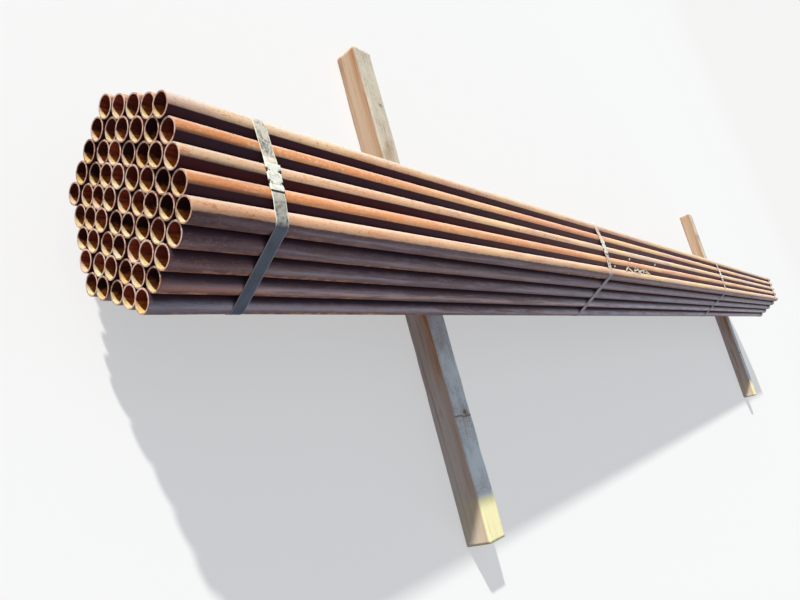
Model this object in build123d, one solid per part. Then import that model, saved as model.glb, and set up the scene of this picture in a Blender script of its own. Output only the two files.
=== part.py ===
from build123d import *
import math
import os

# Bundle of plain-end steel pipes, held in a hexagon by four steel straps and laid on two timber bearers.
# Millimetres. +X runs along the pipes, +Y points to the far side, +Z is up.
# The origin is under the middle of the bundle, on the ground that the bearers lie on.

# Pipe: nominal 1-1/2 inch, standard wall, 21 feet long.
pipe_od = 48.3
pipe_wall = 3.68
pipe_length = 6401.0
end_stagger = 2.5

# Each tube is drawn with flats, which keeps 61 of them light. A flat faces each of its six neighbours.
outer_flats_in_a_sixth = 4
bore_flats_in_a_sixth = 3

# Layers whose bores take a fitting, and so are truly round.
round_bore_layers = (7, 9)

# Bundle: a hexagon with this many pipes on each side, which makes twice as many layers less one.
pipes_per_side = 5
pipe_gap = 0.3

# Strap: flat steel strip, 1-1/4 inch wide, with its two ends lapped under a crimped seal.
strap_width = 31.75
strap_thickness = 0.8
strap_gap = 0.1
strap_lap_gap = 0.1
strap_top_tail = 12.0
strap_under_tail = 18.0
strap_ramp_length = 24.0
strap_ramp_radius = 60.0
strap_ramp_margin = 3.0

# Strap places along the pipes: the first two from the near end, the last two from the far end.
strap_1_from_near_end = 191.0
strap_2_from_near_end = 1895.0
strap_3_from_far_end = 2341.0
strap_4_from_far_end = 121.0

# Seal places across the bundle, from its middle towards the far side.
seal_1_across = -14.0
seal_2_across = 7.0
seal_3_across = 12.0
seal_4_across = -4.0

# Seal: sheet folded round both strap ends, its lips turned in underneath, then notched by the crimping tool.
seal_length = 57.0
seal_sheet = 0.9
seal_clearance = 0.2
seal_lip = 12.0
seal_bend = 1.2
crimp_rows = 2
crimp_pitch = 26.0
crimp_depth = 4.5
crimp_mouth = 10.0
crimp_throat = 5.0

# Bearer: rough-sawn timber laid across under the bundle.
bearer_length = 1829.0
bearer_width = 92.0
bearer_height = 95.0
bearer_edge = 4.0
rest_gap = 0.3
front_bearer_from_near_end = 1171.0
front_bearer_skew = 0.7
rear_bearer_from_far_end = 486.0
rear_bearer_skew = 4.0

# Values worked out from the sizes above.
pipe_radius = pipe_od / 2
bore_radius = pipe_radius - pipe_wall
outer_flats = 6 * outer_flats_in_a_sixth
bore_flats = 6 * bore_flats_in_a_sixth
outer_edge_radius = pipe_radius / math.cos(math.pi / outer_flats)
pitch = pipe_od + pipe_gap
layer_rise = pitch * math.sin(math.radians(60))
layer_count = 2 * pipes_per_side - 1
bottom_axis_z = bearer_height + rest_gap + pipe_radius
middle_axis_z = bottom_axis_z + (pipes_per_side - 1) * layer_rise
top_axis_z = bottom_axis_z + (layer_count - 1) * layer_rise
corner_reach = (pipes_per_side - 1) * pitch
near_end_x = -pipe_length / 2
far_end_x = pipe_length / 2

# Heights of the strip's inner face above the top pipes' axes: on the pipes, then its two ends in the seal.
strap_rest_height = outer_edge_radius + strap_gap
under_end_height = pipe_radius + seal_sheet + 2 * seal_clearance
top_end_height = under_end_height + strap_thickness + strap_lap_gap


def pipes_in_layer(layer):
    """How many pipes lie in a layer, counted from 1 at the bottom."""
    return layer_count - abs(layer - pipes_per_side)


def pipe_axes(layer):
    """The y and z of each pipe's axis in a layer, from the near side to the far side."""
    count = pipes_in_layer(layer)
    z = bottom_axis_z + (layer - 1) * layer_rise
    return [((place - (count - 1) / 2) * pitch, z) for place in range(count)]


def pipe_shift(layer, place):
    """How far a pipe is pushed along, in five even steps from -end_stagger to +end_stagger."""
    step = (3 * layer + 2 * place) % 5 - 2
    return end_stagger * step / 2


def flat_sided(radius, flats):
    """A circle drawn with flats at this distance from its middle, with one of them lying level."""
    level_turn = 90 - 180 / flats
    return Rot(0, 0, level_turn) * RegularPolygon(radius, flats, major_radius=False)


def one_pipe(round_bore):
    """A square-cut tube about the X axis, centred on the origin."""
    bore = Circle(bore_radius) if round_bore else flat_sided(bore_radius, bore_flats)
    section = Plane.YZ * (flat_sided(pipe_radius, outer_flats) - bore)
    return extrude(section, amount=pipe_length / 2, both=True)


def pipe_layer(layer):
    """One layer of separate pipes."""
    pipe = one_pipe(layer in round_bore_layers).solid()
    pipes = []
    for place, (y, z) in enumerate(pipe_axes(layer)):
        pipes.append(Pos(pipe_shift(layer, place), y, z) * pipe)
    return Compound(pipes)


def strap_corners(seal_y):
    """Corner points and radii of the strip's inner face, from its under end round to its top end."""
    corner_distance = corner_reach + strap_rest_height / math.cos(math.radians(30))
    corners = []
    for turn in (60, 0, -60, -120, -180, -240):
        angle = math.radians(turn)
        y = corner_distance * math.cos(angle)
        z = middle_axis_z + corner_distance * math.sin(angle)
        corners.append(Vector(y, z))

    rest_z = top_axis_z + strap_rest_height
    under_z = top_axis_z + under_end_height
    top_z = top_axis_z + top_end_height
    under_tip_y = seal_y - seal_length / 2 - strap_under_tail
    top_tip_y = seal_y + seal_length / 2 + strap_top_tail
    down_ramp_y = top_tip_y + strap_ramp_margin
    up_ramp_y = under_tip_y - strap_ramp_margin

    start = [
        Vector(under_tip_y, under_z),
        Vector(down_ramp_y, under_z),
        Vector(down_ramp_y + strap_ramp_length, rest_z),
    ]
    end = [
        Vector(up_ramp_y - strap_ramp_length, rest_z),
        Vector(up_ramp_y, top_z),
        Vector(top_tip_y, top_z),
    ]
    ramp_radii = [strap_ramp_radius, strap_ramp_radius]
    radii = ramp_radii + [strap_rest_height] * len(corners) + ramp_radii
    return start + corners + end, radii


def moved_outward(points, radii, distance):
    """The same line moved to its left, away from the pipes, with its bends about the same centres."""
    ways = [(after - before).normalized() for before, after in zip(points, points[1:])]
    sides = [Vector(-way.Y, way.X) for way in ways]
    moved = [points[0] + sides[0] * distance]
    moved_radii = []
    for point, radius, side_in, side_out in zip(points[1:], radii, sides, sides[1:]):
        moved.append(point + (side_in + side_out) * (distance / (1 + side_in.dot(side_out))))
        turns_right = side_in.cross(side_out).Z < 0
        moved_radii.append(radius + distance if turns_right else radius - distance)
    moved.append(points[-1] + sides[-1] * distance)
    return moved, moved_radii


def crimp_cutter(seal_y):
    """The notches that the crimping tool bites out of both edges of a seal and of the strap inside it."""
    edge_x = strap_width / 2 + seal_clearance + seal_sheet
    bite = make_face(
        Polyline(
            (edge_x + crimp_depth, -crimp_mouth / 2),
            (edge_x, -crimp_mouth / 2),
            (edge_x - crimp_depth, -crimp_throat / 2),
            (edge_x - crimp_depth, crimp_throat / 2),
            (edge_x, crimp_mouth / 2),
            (edge_x + crimp_depth, crimp_mouth / 2),
            close=True,
        )
    )
    height = top_end_height + strap_thickness
    cutter = Pos(0, 0, top_axis_z) * extrude(bite, amount=2 * height)
    bites = []
    for row in range(crimp_rows):
        y = seal_y + (row - (crimp_rows - 1) / 2) * crimp_pitch
        bites.append(Pos(0, y, 0) * cutter)
        bites.append(Pos(0, y, 0) * mirror(cutter, about=Plane.YZ))
    return bites


def strap(x, seal_y):
    """One strip, bent round the hexagon with its ends lapped on the flat top."""
    points, radii = strap_corners(seal_y)
    outer_points, outer_radii = moved_outward(points, radii, strap_thickness)
    inner = FilletPolyline(points, radius=radii)
    outer = FilletPolyline(outer_points, radius=outer_radii)
    ends = [Line(inner @ 0, outer @ 0), Line(inner @ 1, outer @ 1)]
    section = Plane.YZ * make_face(inner.edges() + outer.edges() + ends)
    strip = extrude(section, amount=strap_width / 2, both=True)
    for bite in crimp_cutter(seal_y):
        strip -= bite
    return Pos(x, 0, 0) * strip


def seal(x, seal_y):
    """One folded seal round the two lapped strap ends."""
    inner_width = strap_width + 2 * seal_clearance
    inner_low = top_axis_z + under_end_height - seal_clearance
    inner_high = top_axis_z + top_end_height + strap_thickness + seal_clearance
    inner_height = inner_high - inner_low
    middle_z = (inner_low + inner_high) / 2
    outer_width = inner_width + 2 * seal_sheet
    outer_height = inner_height + 2 * seal_sheet

    sleeve = Rectangle(outer_width, outer_height)
    sleeve = chamfer(sleeve.vertices(), seal_bend)
    sleeve -= Rectangle(inner_width, inner_height)
    mouth_width = outer_width - 2 * seal_lip
    sleeve -= Pos(0, -outer_height / 2) * Rectangle(mouth_width, outer_height)
    body = extrude(Plane.XZ * sleeve, amount=seal_length / 2, both=True)
    body = Pos(0, seal_y, middle_z) * body
    for bite in crimp_cutter(seal_y):
        body -= bite
    return Pos(x, 0, 0) * body


def bearer(x, skew):
    """One timber across the bundle, with eased long edges."""
    section = Plane.XZ * chamfer(Rectangle(bearer_width, bearer_height).vertices(), bearer_edge)
    timber = extrude(section, amount=bearer_length / 2, both=True)
    return Pos(x, 0, bearer_height / 2) * Rot(0, 0, -skew) * timber


strap_places = [
    (near_end_x + strap_1_from_near_end, seal_1_across),
    (near_end_x + strap_2_from_near_end, seal_2_across),
    (far_end_x - strap_3_from_far_end, seal_3_across),
    (far_end_x - strap_4_from_far_end, seal_4_across),
]

parts = {}
for layer in range(1, layer_count + 1):
    parts[f"pipe_layer_{layer}"] = pipe_layer(layer)
for number, (strap_x, seal_y) in enumerate(strap_places, start=1):
    parts[f"strap_{number}"] = strap(strap_x, seal_y)
    parts[f"seal_{number}"] = seal(strap_x, seal_y)
parts["bearer_front"] = bearer(near_end_x + front_bearer_from_near_end, front_bearer_skew)
parts["bearer_rear"] = bearer(far_end_x - rear_bearer_from_far_end, rear_bearer_skew)

os.makedirs("parts", exist_ok=True)
for name, shape in parts.items():
    export_step(shape, f"parts/{name}.step")
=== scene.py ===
import math
import random

import bpy
from mathutils import Matrix, Vector, noise


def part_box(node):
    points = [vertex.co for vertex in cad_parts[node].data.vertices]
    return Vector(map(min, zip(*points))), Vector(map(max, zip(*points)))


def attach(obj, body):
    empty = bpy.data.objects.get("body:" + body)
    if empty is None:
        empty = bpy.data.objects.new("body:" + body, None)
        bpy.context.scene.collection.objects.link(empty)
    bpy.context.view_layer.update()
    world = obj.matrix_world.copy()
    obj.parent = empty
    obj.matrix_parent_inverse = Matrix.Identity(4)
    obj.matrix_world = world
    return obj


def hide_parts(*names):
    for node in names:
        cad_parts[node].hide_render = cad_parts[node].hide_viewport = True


# Looks of a bundle of rusty pipes, strapped in a hexagon and lying on two timbers. Metres, as in the frame:
# +X runs along the pipes from the near end, +Y points to the far side, +Z is up.
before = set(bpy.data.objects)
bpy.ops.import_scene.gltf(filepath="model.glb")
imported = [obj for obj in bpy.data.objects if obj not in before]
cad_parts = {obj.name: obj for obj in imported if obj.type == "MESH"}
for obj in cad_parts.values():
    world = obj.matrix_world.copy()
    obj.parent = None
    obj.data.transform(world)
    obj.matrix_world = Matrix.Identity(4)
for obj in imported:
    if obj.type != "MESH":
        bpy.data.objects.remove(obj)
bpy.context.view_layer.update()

MM = 0.001

# Sizes read from the frame.
LAYER_COUNT = 9
PIPES_PER_SIDE = 5
top_low, top_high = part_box("pipe_layer_9")
bottom_low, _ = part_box("pipe_layer_1")
PIPE_RADIUS = (top_high.z - top_low.z) / 2
PITCH = (top_high.y - top_low.y - 2 * PIPE_RADIUS) / (PIPES_PER_SIDE - 1)
TOP_AXIS_Z = top_low.z + PIPE_RADIUS
BOTTOM_AXIS_Z = bottom_low.z + PIPE_RADIUS
LAYER_RISE = (TOP_AXIS_Z - BOTTOM_AXIS_Z) / (LAYER_COUNT - 1)
MIDDLE_AXIS_Z = (TOP_AXIS_Z + BOTTOM_AXIS_Z) / 2

# Sizes of the pipes that the frame's boxes don't show.
END_STAGGER = 2.5 * MM
PIPE_WALL = 3.68 * MM
NEAR_END_X = top_low.x + END_STAGGER
FAR_END_X = top_high.x - END_STAGGER


class Shader:
    """The nodes of a material or of the world."""

    def __init__(self, holder):
        holder.use_nodes = True
        self.holder = holder
        self.tree = holder.node_tree
        self.nodes = self.tree.nodes

    def join(self, value, socket):
        """Feeds a socket from another or from a named attribute, or sets it to a number or a colour."""
        if isinstance(value, str):
            node = self.add("Attribute")
            node.attribute_name = value
            value = node.outputs["Fac"]
        if isinstance(value, bpy.types.NodeSocket):
            self.tree.links.new(value, socket)
        elif isinstance(value, tuple) and len(value) < len(socket.default_value):
            socket.default_value = (*value, 1.0)
        else:
            socket.default_value = value

    def feed(self, node, named):
        """Feeds a node's sockets by name, where there is a value."""
        for name, value in named.items():
            if value is not None:
                self.join(value, node.inputs[name])

    def add(self, kind, *values, **named):
        """A new node, its first sockets fed in order and others by name."""
        node = self.nodes.new("ShaderNode" + kind)
        for value, socket in zip(values, node.inputs):
            self.join(value, socket)
        self.feed(node, named)
        return node

    def vector(self, operation, first, second):
        node = self.add("VectorMath", first, second)
        node.operation = operation
        return node.outputs[0]

    def number(self, operation, first, second=0.0, third=0.0, clamp=False):
        node = self.add("Math", first, second, third)
        node.operation = operation
        node.use_clamp = clamp
        return node.outputs[0]

    def times(self, first, second):
        return self.number("MULTIPLY", first, second)

    def sway(self, value, amount, base):
        """Moves a base value by a noise's swing about its middle."""
        return self.number("MULTIPLY_ADD", self.number("SUBTRACT", value, 0.5), amount, base)

    def place(self, shift=None):
        """Object coordinates in metres, moved by a socket's value."""
        coordinates = self.add("TexCoord").outputs["Object"]
        return coordinates if shift is None else self.vector("ADD", coordinates, shift)

    def noise(self, stretch, shift=None, detail=4, roughness=0.55):
        place = self.vector("MULTIPLY", self.place(shift), stretch)
        return self.add("TexNoise", place, Scale=1.0, Detail=detail, Roughness=roughness).outputs["Fac"]

    def spread(self, value, low, high, to_low=0.0, to_high=1.0):
        """Maps low..high smoothly to to_low..to_high, and holds the ends."""
        node = self.add("MapRange", value, low, high, to_low, to_high)
        node.interpolation_type = "SMOOTHSTEP"
        return node.outputs["Result"]

    def mix(self, factor, first, second, blend="MIX"):
        node = self.add("Mix")
        node.data_type = "RGBA"
        node.blend_type = blend
        for value, place in ((factor, 0), (first, 6), (second, 7)):
            self.join(value, node.inputs[place])
        return node.outputs[2]

    def stain(self, colour, over, value, low, high, amount):
        """Lays a colour over this one as a value goes from low to high, up to an amount."""
        return self.mix(self.times(self.spread(value, low, high), amount), colour, over)

    def ramp(self, value, stops):
        """Blends three colours, given with their places."""
        node = self.add("ValToRGB", value)
        elements = node.color_ramp.elements
        elements.new(1.0)
        for element, (place, colour) in zip(elements, stops):
            element.position = place
            element.color = (*colour, 1.0)
        return node.outputs[0]

    def bump(self, height, distance, strength, normal=None):
        return self.add("Bump", Height=height, Distance=distance, Strength=strength, Normal=normal).outputs[0]

    def shown_ray(self):
        """1 for a ray seen straight, mirrored or through a surface, and 0 for one that only lights."""
        rays = self.add("LightPath").outputs
        shown = self.number("ADD", rays["Is Camera Ray"], rays["Is Glossy Ray"])
        return self.number("ADD", shown, rays["Is Transmission Ray"], clamp=True)

    def finish(self, colour, roughness, normal=None, metallic=0.0, specular=0.5):
        """Feeds the surface, and gives the material."""
        named = {"Base Color": colour, "Roughness": roughness, "Normal": normal}
        named |= {"Metallic": metallic, "Specular IOR Level": specular}
        self.feed(self.nodes["Principled BSDF"], named)
        return self.holder


def new_material(name):
    return Shader(bpy.data.materials.new(name))


# Colours, as linear red, green and blue. Those whose name starts with TO multiply another.
# Colours of the soiling in the grooves, which also serve as painted shade.
GRIME_AND_SHADE = (0.045, 0.024, 0.037)
GRIME_AND_SHADE_RED = (0.062, 0.017, 0.021)
GRIME_AND_SHADE_BLUE = (0.03, 0.027, 0.046)
GRIME_AND_SHADE_DUSTY = (0.178, 0.107, 0.118)
# Darkest soiling with painted shade, for closed gaps and contacts.
SOOT_AND_SHADE = (0.048, 0.009, 0.007)
# Dark for the dull near ends, and painted shade toward their grooves.
DULL_AND_SHADE = (0.035, 0.018, 0.024)
MILL_DARK = (0.085, 0.052, 0.07)
MILL_GREY = (0.22, 0.155, 0.195)
MILL_SLATE = (0.13, 0.155, 0.23)
# Colours of the painted sheen, a painted highlight.
SHEEN_COOL = (0.42, 0.35, 0.41)
SHEEN_WARM = (0.6, 0.37, 0.33)
TO_BLUER = (1.08, 1.32, 1.62)
TO_BROWNER = (0.7, 0.5, 0.46)
RUST_DEEP = (0.15, 0.055, 0.035)
RUST_BROWN = (0.34, 0.185, 0.15)
RUST_ORANGE = (0.77, 0.3, 0.115)
RUST_SALMON = (0.74, 0.42, 0.26)
RUST_TAN = (0.74, 0.52, 0.34)
RUST_PALE = (0.86, 0.7, 0.6)
RUST_GOLD = (0.9, 0.62, 0.34)
DUST = (0.74, 0.6, 0.48)
HAZE = (0.8, 0.68, 0.64)
BORE_DARK = (0.022, 0.007, 0.01)
BORE_RED = (0.33, 0.06, 0.035)
BORE_GLOW = (0.8, 0.225, 0.04)
GOLD = (0.62, 0.45, 0.17)
GOLD_PALE = (0.74, 0.67, 0.42)
GOLD_RUSTY = (0.72, 0.42, 0.11)
GOLD_PINK = (0.76, 0.52, 0.38)
RIM_RUST = (0.3, 0.14, 0.1)
RIM_TAN = (0.63, 0.39, 0.3)
RIM_PALE = (0.81, 0.63, 0.54)
SEAL_PALE = (0.89, 0.885, 0.79)
SEAL_DULL = (0.73, 0.735, 0.65)
SEAL_SPOT = (0.46, 0.48, 0.44)
ZINC_PALE = (0.67, 0.625, 0.52)
ZINC_DULL = (0.345, 0.33, 0.29)
ZINC_SPOT = (0.15, 0.14, 0.145)
TO_DUSKY = (0.6, 0.62, 0.66)
WORN_LIT = (0.9, 0.88, 0.74)
WORN_SHADED = (0.24, 0.22, 0.25)
# Painted shade in the seals' gaps.
GAP_SHADE = (0.03, 0.024, 0.022)
# Painted shade: the straps' dark slate on the side turned from the key lamp.
SLATE_SHADE = (0.029, 0.042, 0.07)
SLATE_SHADE_PALE = (0.055, 0.072, 0.112)
SLATE_SHADE_DUSTY = (0.17, 0.155, 0.19)
WOOD_DARK = (0.66, 0.46, 0.38)
WOOD_BROWN = (0.9, 0.73, 0.66)
WOOD_PALE = (0.94, 0.82, 0.77)
WOOD_STAIN = (0.66, 0.3, 0.13)
WOOD_SUNLIT = (0.95, 0.87, 0.46)
WOOD_SPECK = (0.4, 0.29, 0.24)
WOOD_DIRT = (0.16, 0.12, 0.1)
TO_TAN = (0.74, 0.65, 0.5)
# The silver greys are tinted blue to paint in the cool light of shade on the timber tops.
SILVER_DARK = (0.62, 0.52, 0.48)
SILVER = (0.8, 0.83, 0.88)
SILVER_PALE = (0.9, 0.95, 0.99)
RING_DARK = (0.26, 0.15, 0.085)
RING_PALE = (0.55, 0.4, 0.26)
GRAIN_DARK = (0.12, 0.075, 0.05)
KNOT_BROWN = (0.17, 0.085, 0.05)
CRACK_DARK = (0.14, 0.08, 0.06)
CHIP_GREEN = (0.4, 0.4, 0.3)
CHIP_CREAM = (0.92, 0.86, 0.68)
FLOOR_BOUNCE = (0.42, 0.36, 0.3)
FLOOR_SHOWN = (0.86, 0.86, 0.86)
FULL_WHITE = (1.0, 1.0, 1.0)
SURROUND_WHITE = (0.91, 0.91, 0.905)

# How far a pipe's tone moves its patterns, and what spreads the tones over the kinds of gold.
TONE_SHIFT = 37.0
EACH_PIPE = 7.3

# The crack on top of the timbers, on the near side of the middle, and the rings' centre from the middle.
CRACK_FROM_MIDDLE = 0.507
RING_CENTRE = (0.012, 0.0, 0.03)


def pipe_skin():
    """Mill scale under rust: dark at the sides, orange to tan where rain and sun reach the pipe. The dark on
    the top pipes' shaded flanks and in the grooves is partly painted shade, and the pale bands on the near
    slope are a painted sheen.
    """
    s = new_material("pipe_skin")
    away = s.times("tone", TONE_SHIFT)
    long_patches = s.noise((1.1, 9, 9), away, 3)
    streaks = s.noise((7, 110, 110), away, 5, 0.6)
    blotches = s.noise((30, 55, 55), away, 5, 0.62)
    mottle = s.noise((110, 190, 190), away, 4, 0.65)
    grain = s.noise((320, 500, 500), away, 3, 0.65)

    uneven = s.sway(blotches, 0.9, s.number("SUBTRACT", long_patches, 0.5))
    # Rust amount. It drops past the top pipes' terminator, which paints their shaded flank dark.
    rusty = s.number("MULTIPLY_ADD", uneven, 0.8, "weather", clamp=True)

    mill = s.mix(s.spread(streaks, 0.35, 0.68), MILL_DARK, MILL_GREY)
    mill = s.mix("slate", mill, MILL_SLATE)
    # Painted sheen: a pale band where a highlight would fall on the near slope pipes.
    sheen = s.spread(s.number("ADD", streaks, long_patches), 0.7, 1.15)
    sheen = s.times(sheen, "polish")
    mill = s.mix(sheen, mill, s.mix("warm", SHEEN_COOL, SHEEN_WARM))
    mill = s.mix("blue", mill, TO_BLUER, "MULTIPLY")
    mill = s.mix("brown", mill, TO_BROWNER, "MULTIPLY")
    brown = s.mix(s.spread(blotches, 0.3, 0.65), RUST_DEEP, RUST_BROWN)
    base = s.mix(s.spread(rusty, 0.25, 0.62), mill, brown)

    tan = s.mix(s.spread(long_patches, 0.4, 0.62), RUST_SALMON, RUST_TAN)
    hue = s.sway(streaks, 1.3, "tint")
    hue = s.sway(blotches, 1.1, hue)
    hue = s.sway(mottle, 2.3, hue)
    fresh = s.mix(s.spread(hue, 0.22, 0.78), RUST_ORANGE, tan)
    fresh = s.mix("pale", fresh, DUST)
    fresh = s.mix("haze", fresh, HAZE)
    golden = s.spread(s.noise((2.5, 12, 12), away, 2), 0.44, 0.6)
    far_along = s.number("MULTIPLY", "haze", 6.0, clamp=True)
    fresh = s.mix(s.times(s.times(golden, far_along), 0.65), fresh, RUST_GOLD)
    colour = s.mix(s.spread(rusty, 0.46, 0.8), base, fresh)

    colour = s.stain(colour, RUST_BROWN, mottle, 0.45, 0.3, 0.55)
    colour = s.stain(colour, RUST_BROWN, streaks, 0.47, 0.33, 0.35)
    colour = s.stain(colour, RUST_TAN, grain, 0.6, 0.74, 0.35)
    colour = s.stain(colour, RUST_DEEP, grain, 0.42, 0.3, 0.5)
    # Duller near ends of the top pipes, with painted shade toward their grooves.
    colour = s.mix("dull", colour, DULL_AND_SHADE)
    # Soiling at the contacts, with painted shade past the top pipes' terminator and down the near slope's
    # upper sides.
    dirt_and_shade = s.stain(GRIME_AND_SHADE, GRIME_AND_SHADE_BLUE, long_patches, 0.46, 0.6, 0.7)
    dirt_and_shade = s.mix("red", dirt_and_shade, GRIME_AND_SHADE_RED)
    dirt_and_shade = s.mix("dusty", dirt_and_shade, GRIME_AND_SHADE_DUSTY)
    colour = s.mix(s.spread(s.sway(blotches, 0.4, "grime"), 0.25, 0.75), colour, dirt_and_shade)
    # Painted shade with soiling in the closed gaps and right at the contacts.
    colour = s.mix("soot", colour, SOOT_AND_SHADE)

    rough = s.sway(streaks, 0.3, s.spread(rusty, 0.25, 0.65, 0.4, 0.85))
    rough = s.number("MAXIMUM", rough, "grime", clamp=True)
    normal = s.bump(blotches, 0.8 * MM, 0.5, s.bump(grain, 0.35 * MM, 0.55))
    return s.finish(colour, rough, normal, specular=0.12)


def pipe_bore():
    """Inside of a pipe: pale gold rust at the mouth over the crescent that the key lamp lights, a brown glow
    low down painted as bounce light, and near black beyond.
    """
    s = new_material("pipe_bore")
    away = s.times("tone", TONE_SHIFT)
    mottle = s.noise((60, 90, 90), away, 5, 0.6)
    streaks = s.noise((6, 110, 110), away, 4)
    fine = s.noise((30, 260, 260), away, 4, 0.65)
    glow = s.sway(mottle, 1.2, "glow")
    deep = s.mix(s.spread("tone", 0.15, 1.0), BORE_DARK, BORE_RED)
    # Painted bounce light: an orange-brown glow low down in the bore.
    deep = s.mix(s.spread(glow, 0.25, 0.9), deep, BORE_GLOW)
    deep = s.stain(deep, BORE_DARK, fine, 0.56, 0.36, 0.6)
    gold = s.mix(s.spread(mottle, 0.35, 0.65), GOLD, GOLD_PALE)
    each = s.number("FRACT", s.times("tone", EACH_PIPE))
    gold = s.mix(s.spread(each, 0.3, 0.0, 0.0, 0.7), gold, GOLD_RUSTY)
    gold = s.mix(s.spread(each, 0.55, 1.0, 0.0, 0.8), gold, GOLD_PINK)
    # Pale gold where the key lamp lights the mouth: dust that also paints that light.
    edge = s.sway(mottle, 0.3, "mouth")
    colour = s.mix(s.spread(edge, 0.4, 0.6), deep, gold)
    normal = s.bump(s.number("ADD", mottle, streaks), 0.4 * MM, 0.6)
    return s.finish(colour, 0.85, normal, specular=0.05)


def pipe_rim():
    """Square-cut end of a pipe: bare steel gone pinkish tan, with darker rust at places."""
    s = new_material("pipe_rim")
    away = s.times("tone", TONE_SHIFT)
    mottle = s.sway("tone", 0.22, s.noise((70, 130, 130), away, 5, 0.6))
    saw = s.noise((20, 20, 900), away, 2)
    colour = s.ramp(mottle, [(0.3, RIM_RUST), (0.47, RIM_TAN), (0.66, RIM_PALE)])
    normal = s.bump(s.number("ADD", mottle, saw), 0.2 * MM, 0.5)
    return s.finish(colour, 0.6, normal, specular=0.3)


def steel_strip(name, pale, dull, spot, shade_dark, shade_pale, rust_at):
    """Zinc-grey strip or sheet: pale and dusty on top and on the far slope, which face the key lamp, with
    painted shade in dark slate where it is turned from the lamp, and bright at worn edges.
    """
    s = new_material(name)
    mottle = s.noise((190, 150, 150), None, 5, 0.68)
    cloud = s.noise((22, 22, 22), None, 3)
    scuffs = s.noise((420, 26, 26), None, 3)
    fine = s.noise((420, 420, 420), None, 3)
    mottled = s.sway(cloud, 0.7, mottle)
    lit_zinc = s.ramp(mottled, [(0.34, spot), (0.45, dull), (0.55, pale)])
    lit_zinc = s.mix("dull", lit_zinc, TO_DUSKY, "MULTIPLY")
    lit_zinc = s.stain(lit_zinc, pale, scuffs, 0.56, 0.7, 0.35)
    # Painted shade: the copy of the zinc for the side turned from the key lamp.
    shaded_zinc = s.mix(s.spread(mottled, 0.4, 0.66), shade_dark, shade_pale)
    shaded_zinc = s.mix(s.spread("rusty", 0.3, 0.6), shaded_zinc, SLATE_SHADE_DUSTY)
    zinc = s.mix("lee", lit_zinc, shaded_zinc)
    zinc = s.stain(zinc, s.mix("lee", WORN_LIT, WORN_SHADED), "edge", 0.35, 0.9, 0.85)
    rust = s.mix(s.spread(mottle, 0.3, 0.6), RUST_SALMON, RUST_PALE)
    amount = s.spread(s.sway(mottle, 1.0, "rusty"), rust_at, rust_at + 0.35)
    amount = s.times(amount, s.number("SUBTRACT", 1.0, s.times("lee", 0.9)))
    colour = s.mix(amount, zinc, rust)
    colour = s.mix("pit", colour, GAP_SHADE)
    rough = s.spread(mottle, 0.3, 0.7, 0.45, 0.65)
    normal = s.bump(s.number("ADD", fine, scuffs), 0.15 * MM, 0.5)
    return s.finish(colour, rough, normal, metallic=0.12, specular=0.35)


def weathered_timber():
    """Rough-sawn softwood: brown sides with orange streaks, grey on top with a blue tint that paints in cool
    shade light, growth rings at the ends, and a painted patch of sunlight near the near-side end.
    """
    s = new_material("weathered_timber")
    warp = s.noise((7, 1.6, 7), None, 3)
    bend = s.times(s.number("SUBTRACT", warp, 0.5), 0.035)
    grain_place = s.place(bend)
    grain = s.noise((230, 5, 230), bend, 5, 0.6)
    wide_grain = s.noise((55, 1.6, 55), bend)
    cloud = s.noise((11, 7, 11), None, 4, 0.6)
    fine = s.noise((420, 160, 420), None, 4, 0.7)

    brown = s.ramp(wide_grain, [(0.3, WOOD_DARK), (0.46, WOOD_BROWN), (0.6, WOOD_PALE)])
    streak = s.times("streak", s.spread(wide_grain, 0.36, 0.6))
    brown = s.mix(streak, brown, WOOD_STAIN)
    silver = s.ramp(s.sway(grain, 0.5, cloud), [(0.28, SILVER_DARK), (0.42, SILVER), (0.6, SILVER_PALE)])
    greyed = s.sway(cloud, 0.9, "grey")
    colour = s.mix(s.spread(greyed, 0.3, 0.7), brown, silver)
    specks = s.times(s.spread(fine, 0.52, 0.66), s.spread(cloud, 0.58, 0.42))
    colour = s.mix(s.times(specks, "top"), colour, WOOD_SPECK)
    colour = s.mix("far_side", colour, TO_TAN, "MULTIPLY")
    # Painted sunlight: a cream patch where the key lamp reaches the timber past the bundle's shadow.
    colour = s.mix("cream", colour, WOOD_SUNLIT)

    rings = s.add("TexWave", s.vector("ADD", grain_place, RING_CENTRE), 38.0, 1.5, 2.0)
    rings.wave_type = "RINGS"
    rings.rings_direction = "Y"
    colour = s.mix("end", colour, s.mix(rings.outputs["Fac"], RING_DARK, RING_PALE))

    colour = s.stain(colour, GRAIN_DARK, grain, 0.42, 0.28, 0.45)
    colour = s.mix("knot", colour, KNOT_BROWN)
    along = s.add("SeparateXYZ", grain_place).outputs["Y"]
    from_crack = s.number("ABSOLUTE", s.number("ADD", along, CRACK_FROM_MIDDLE))
    crack = s.times(s.spread(from_crack, 1.5 * MM, 5 * MM, 1.0, 0.0), 0.6)
    colour = s.mix(s.times(crack, "top"), colour, CRACK_DARK)
    colour = s.stain(colour, WOOD_DIRT, fine, 0.6, 0.72, 0.35)
    height = s.number("MULTIPLY_ADD", grain, 0.7, s.times(fine, 0.3))
    return s.finish(colour, 0.85, s.bump(height, 1.4 * MM, 0.6), specular=0.15)


def dry_chip():
    """Dry bark and leaf caught between two pipes: cream, greenish grey where it is thin."""
    s = new_material("dry_chip")
    mottle = s.noise((120, 120, 120), None, 3)
    colour = s.mix(s.spread(mottle, 0.38, 0.6), CHIP_GREEN, CHIP_CREAM)
    return s.finish(colour, 0.8, specular=0.1)


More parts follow.
